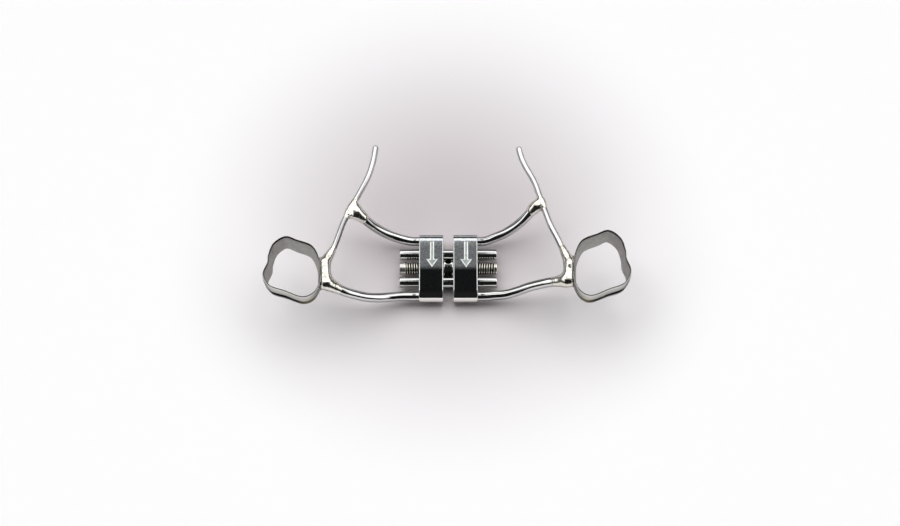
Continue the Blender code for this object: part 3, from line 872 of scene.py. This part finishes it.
def blend(a, b, reach):
    """Soft minimum of two distances, which rounds the corner between them."""
    overlap = np.maximum(reach - np.abs(a - b), 0) / reach
    return np.minimum(a, b) - overlap**2 * reach / 4


def wetted(points, wires, reach):
    """Distance to wires and beads that flow into one another."""
    value = along_path(points, *wires[0])
    for path, radii in wires[1:]:
        value = blend(value, along_path(points, path, radii), reach)
    return value


def ripple(points, size, height):
    """A gentle unevenness that is the same on each run."""
    rng = np.random.default_rng(7)
    waves = rng.normal(size=(6, 3)) / size
    shifts = rng.uniform(0, 2 * math.pi, 6)
    return height * np.sin(points @ waves.T * 2 + shifts).mean(axis=1)


# %% [markdown]
# ## A skin round a field
#
# A field only says how far away the silver is. To make a mesh of it, space is cut into small cells.
# Each cell that the surface crosses gets one point, in the middle of its crossings, and each grid
# edge that it crosses gets the quad between the four cells round that edge. This gives small, even
# quads, which melted metal needs, because every dent would show in its mirror.

# %% Solder skin
def surface(field, low, high, step, nudge=0.01):
    """Points and quads of the surface where the field is zero, pulled onto it exactly."""
    axes = [np.arange(a, b + step, step) for a, b in zip(low, high)]
    grid = np.stack(np.meshgrid(*axes, indexing="ij"), axis=3)
    values = field(grid.reshape(-1, 3)).reshape(grid.shape[:3])
    size = np.array(values.shape)
    total = np.zeros((*(size - 1), 3))
    count = np.zeros(size - 1)
    crossings = []
    for axis in range(3):
        first = [slice(None)] * 3
        second = [slice(None)] * 3
        first[axis], second[axis] = slice(0, -1), slice(1, None)
        a, b = values[tuple(first)], values[tuple(second)]
        cross = (a < 0) != (b < 0)
        place = grid[tuple(first)].copy()
        place[..., axis] += np.where(cross, a / np.where(cross, a - b, 1), 0) * step
        others = [k for k in range(3) if k != axis]
        crossings.append((others, cross))
        for offsets in product((0, 1), repeat=2):
            part = [slice(None)] * 3
            for other, offset in zip(others, offsets):
                part[other] = slice(offset, offset + size[other] - 1)
            part = tuple(part)
            total += place[part] * cross[part][..., None]
            count += cross[part]
    used = count > 0
    number = np.full(used.shape, -1)
    number[used] = np.arange(used.sum())
    points = total[used] / count[used][:, None]
    faces = []
    for (one, two), cross in crossings:
        cells = np.argwhere(cross)
        quads = []
        for back_one, back_two in ((1, 1), (0, 1), (0, 0), (1, 0)):
            corner = cells.copy()
            corner[:, one] -= back_one
            corner[:, two] -= back_two
            quads.append(number[tuple(corner.T)])
        faces += np.column_stack(quads).tolist()
    for _ in range(3):
        steps = [field(points + d) - field(points - d) for d in np.eye(3) * nudge]
        slope = np.stack(steps, axis=1) / (2 * nudge)
        move = field(points)[:, None] * slope / np.maximum((slope**2).sum(1), 0.2)[:, None]
        points = points - np.clip(move, -step, step)
    return points, faces


def stretch_of(path, start, before, after):
    """The piece of a path from before to after, measured along it from its point near start."""
    lengths = np.concatenate([[0], np.cumsum(np.linalg.norm(np.diff(path, axis=0), axis=1))])
    here = lengths[np.argmin(np.linalg.norm(path - start, axis=1))]
    places = np.linspace(max(here + before, 0), min(here + after, lengths[-1]), 9)
    return np.stack([np.interp(places, lengths, path[:, k]) for k in range(3)], axis=1)


def solder(name, side, field, middle_lines, room, node, step=0.1):
    """A solder joint that ends where its surface leaves the room round its middle lines."""
    reach = np.vstack(middle_lines)
    low, high = reach.min(0) - room, reach.max(0) + room

    def closed(p):
        return np.maximum(field(p), np.maximum(low - p, p - high).max(axis=1))

    obj = mesh_object(name, surface(closed, low - 2 * step, high + 2 * step, step), [solder_silver])
    finish(obj, f"{side}_half", "silver_solder", node, sharp=70)


# %% [markdown]
# ## Running the solder
#
# Each joint is a list of middle lines with the radii of the silver along them. Those of the bare
# wires are a little thinner than the wire, so there the solder hides inside it and only the beads
# show. The web lies between an anterior arm and its bar, and the mass fills the corner between a
# bar, a band and a posterior arm.

# %% Solder joints
HIDDEN = 0.05
# How far the web runs along the bar each way, and back along the arm
WEB_REACH = {"left": (1.9, 2.3, 1.6), "right": (1.2, 1.1, 1.0)}
WEB_BLEND, WEB_ROOM, MASS_BLEND, MASS_ROOM, WALL_BLEND = 0.55, 1.2, 0.7, 1.5, 0.9
for side, sign in SIDES.items():
    bar_line, arm_line = bars[side], arms[f"anterior_{side}"]
    seat = arm_line[-1]
    ahead, behind, back = WEB_REACH[side]
    on_bar = stretch_of(bar_line, seat, -ahead, behind)
    on_arm = stretch_of(arm_line, seat, -back, 0)
    ties = [np.array([on_arm[1], (on_bar[k] * 2 + on_arm[6]) / 3]) for k in (1, 3, 5, 7)]
    wires = [(stretch_of(bar_line, seat, -4, 4), [BAR_RADIUS - HIDDEN]),
             (stretch_of(arm_line, seat, -4, 0), [ARM_RADIUS - HIDDEN]),
             (on_bar, [0.1, 0.45, 0.62, 0.62, 0.45, 0.1]), (on_arm, [0.35, 0.66, 0.8, 0.86])]
    wires += [(tie, [0.5, 0.42]) for tie in ties]

    def web(p, wires=wires):
        return wetted(p, wires, WEB_BLEND) + ripple(p, 0.7, 0.03)

    solder(f"solder_web_{side}", side, web, [on_bar, on_arm], WEB_ROOM, f"solder_premolar_{side}")

    arm_line = arms[f"posterior_{side}"]
    seat, end = arm_line[-1], bar_line[-1]
    on_bar = stretch_of(bar_line, end, -3.6, 0)
    on_arm = stretch_of(arm_line, seat, -2.4, 0)
    lean = np.linspace(0.1, 0.4, len(on_bar))[:, None] * (sign, 0, 0)
    wires = [(stretch_of(bar_line, end, -6, 0), [BAR_RADIUS - HIDDEN]),
             (stretch_of(arm_line, seat, -5, 0), [ARM_RADIUS - HIDDEN]),
             (on_bar + lean, [0.1, 0.5, 0.75, 0.85]), (on_arm, [0.35, 0.7, 0.9, 0.95]),
             (np.array([end + (sign * 0.3, 0, 0), seat]), [0.88, 0.95])]

    def mass(p, wires=wires, side=side):
        outside, past_edge = beside_band(p, side)
        wall = np.maximum(np.abs(outside) - BAND_WALL / 2 + 0.04, past_edge + 0.3)
        value = blend(wetted(p, wires, MASS_BLEND), wall, WALL_BLEND) + ripple(p, 0.9, 0.03)
        # The solder stays on the outer side of the band's wall.
        return np.maximum(value, -outside)

    solder(f"solder_mass_{side}", side, mass, [on_bar, on_arm], MASS_ROOM, f"solder_molar_{side}")

# %% [markdown]
# ## The floor
#
# The object lies on a sheet of matt paper, which catches its soft shadow and shows how high the
# bands stand. The sheet is a single face, a hair below the block's flat underside.

# %% Floor
HALF_FLOOR, FLOOR_DROP = 3.0, 1e-5
floor_mesh = bpy.data.meshes.new("floor")
corners = [(-1, -1), (1, -1), (1, 1), (-1, 1)]
floor_mesh.from_pydata(
    [(x * HALF_FLOOR, y * HALF_FLOOR, -FLOOR_DROP) for x, y in corners], [], [(0, 1, 2, 3)]
)
floor = bpy.data.objects.new("floor", floor_mesh)
bpy.context.scene.collection.objects.link(floor)
# A matt paper: a warm pale grey under the object that turns white further out. The grey under
# the object is painted shade.
paper = bpy.data.materials.new("matt_paper")
paper.use_nodes = True
tree = paper.node_tree
shader = tree.nodes["Principled BSDF"]
shader.inputs["Roughness"].default_value = 0.9
shader.inputs["Specular IOR Level"].default_value = 0.2
where = add_node(tree, "ShaderNodeTexCoord").outputs["Object"]
centred = add_node(tree, "ShaderNodeVectorMath", {0: where, 1: (0, -0.004, 0)}, operation="ADD")
distance = add_node(tree, "ShaderNodeVectorMath", {0: centred.outputs[0]}, operation="LENGTH")
fade = ramp(tree, distance.outputs["Value"], 0.004, 0.048)
tree.links.new(mixed(tree, fade, "cbc4c7", "fcfbfc"), shader.inputs["Base Color"])
floor_mesh.materials.append(paper)
print("floor:", 2 * HALF_FLOOR, "m wide")

# %% [markdown]
# ## The sky and the lamp
#
# Polished steel shows the room more than itself, so the room is part of the material. The sky here
# is dark on the camera's side, as a black card round a lens would be, and bright behind the object.
# It is drawn by angles where a studio would hang cards, so no card can get into the export. A soft
# sun that the mirrors don't see brings the pale floor up to its own colour.

# %% World and lamp
SKY_DARK, SKY_BRIGHT = 0.012, 1.65
world = bpy.data.worlds.new("studio")
bpy.context.scene.world = world
world.use_nodes = True
tree = world.node_tree
background = tree.nodes["Background"]
look = split(tree, "ShaderNodeTexCoord", "Generated")
# The angle from straight up towards the far side, in radians, and how far a ray looks sideways
lean = compute(tree, "ARCTAN2", look["Y"], look["Z"])
sideways = compute(tree, "ABSOLUTE", look["X"])
# Past 25 degrees the sky is the grey that the flats mirror, and past 31 it grows to full light
shelf = ramp(tree, lean, *np.radians((24.8, 26.4)), 0.0, 0.14)
bright = ramp(tree, lean, *np.radians((31, 42)), 0.0, 0.86)
# Overhead only a narrow card stays black, and the sky beside it is bright
beside = join(
    tree, "MULTIPLY", ramp(tree, lean, *np.radians((-6, -1))), ramp(tree, sideways, 0.018, 0.023)
)
# Far out to both sides it is bright again
flanks = ramp(tree, sideways, 0.6, 0.8, 0.0, 0.95)
sky = join(tree, "MAXIMUM", join(tree, "ADD", shelf, bright), flanks, beside)
# Towards the horizon the room is dark, which draws the dark lines along the wires
horizon = ramp(tree, look["Z"], 0.40, 0.52, 0.05, 1.0)
sky = join(tree, "MULTIPLY", sky, horizon)
strength = spread(tree, sky, SKY_DARK, SKY_BRIGHT, 0.0, 1.0)
tree.links.new(strength, background.inputs["Strength"])
background.inputs["Color"].default_value = (1, 1, 1, 1)

sun = bpy.data.lights.new("soft_sun", "SUN")
sun.energy = 0.9
sun.angle = math.radians(70)
sun_object = bpy.data.objects.new("soft_sun", sun)
sun_object.rotation_euler = (math.radians(-25), math.radians(-12), 0)
sun_object.visible_glossy = False
bpy.context.scene.collection.objects.link(sun_object)
print("sky strength from", SKY_DARK, "to", SKY_BRIGHT)

# %% [markdown]
# ## The camera
#
# A long lens from in front and above, 350 mm from the screw, gives the photograph's gentle
# perspective. The small shift puts the screw where the photograph has it.

# %% Camera
CAMERA_DISTANCE, CAMERA_LEAN = 350.0, math.radians(26.5)
lens = bpy.data.cameras.new("camera")
lens.sensor_width = 36
lens.lens = 84.7
lens.shift_x = 0.00189
lens.shift_y = 0.00633
lens.clip_start = 0.01
camera = bpy.data.objects.new("camera", lens)
away = np.array([0, -math.sin(CAMERA_LEAN), math.cos(CAMERA_LEAN)]) * CAMERA_DISTANCE
camera.location = (SCREW + away) * MM
camera.rotation_euler = (CAMERA_LEAN, 0, 0)
bpy.context.scene.collection.objects.link(camera)
bpy.context.scene.camera = camera
bpy.context.scene.view_settings.view_transform = "Standard"
print("camera:", lens.lens, "mm lens,", CAMERA_DISTANCE, "mm from the screw")
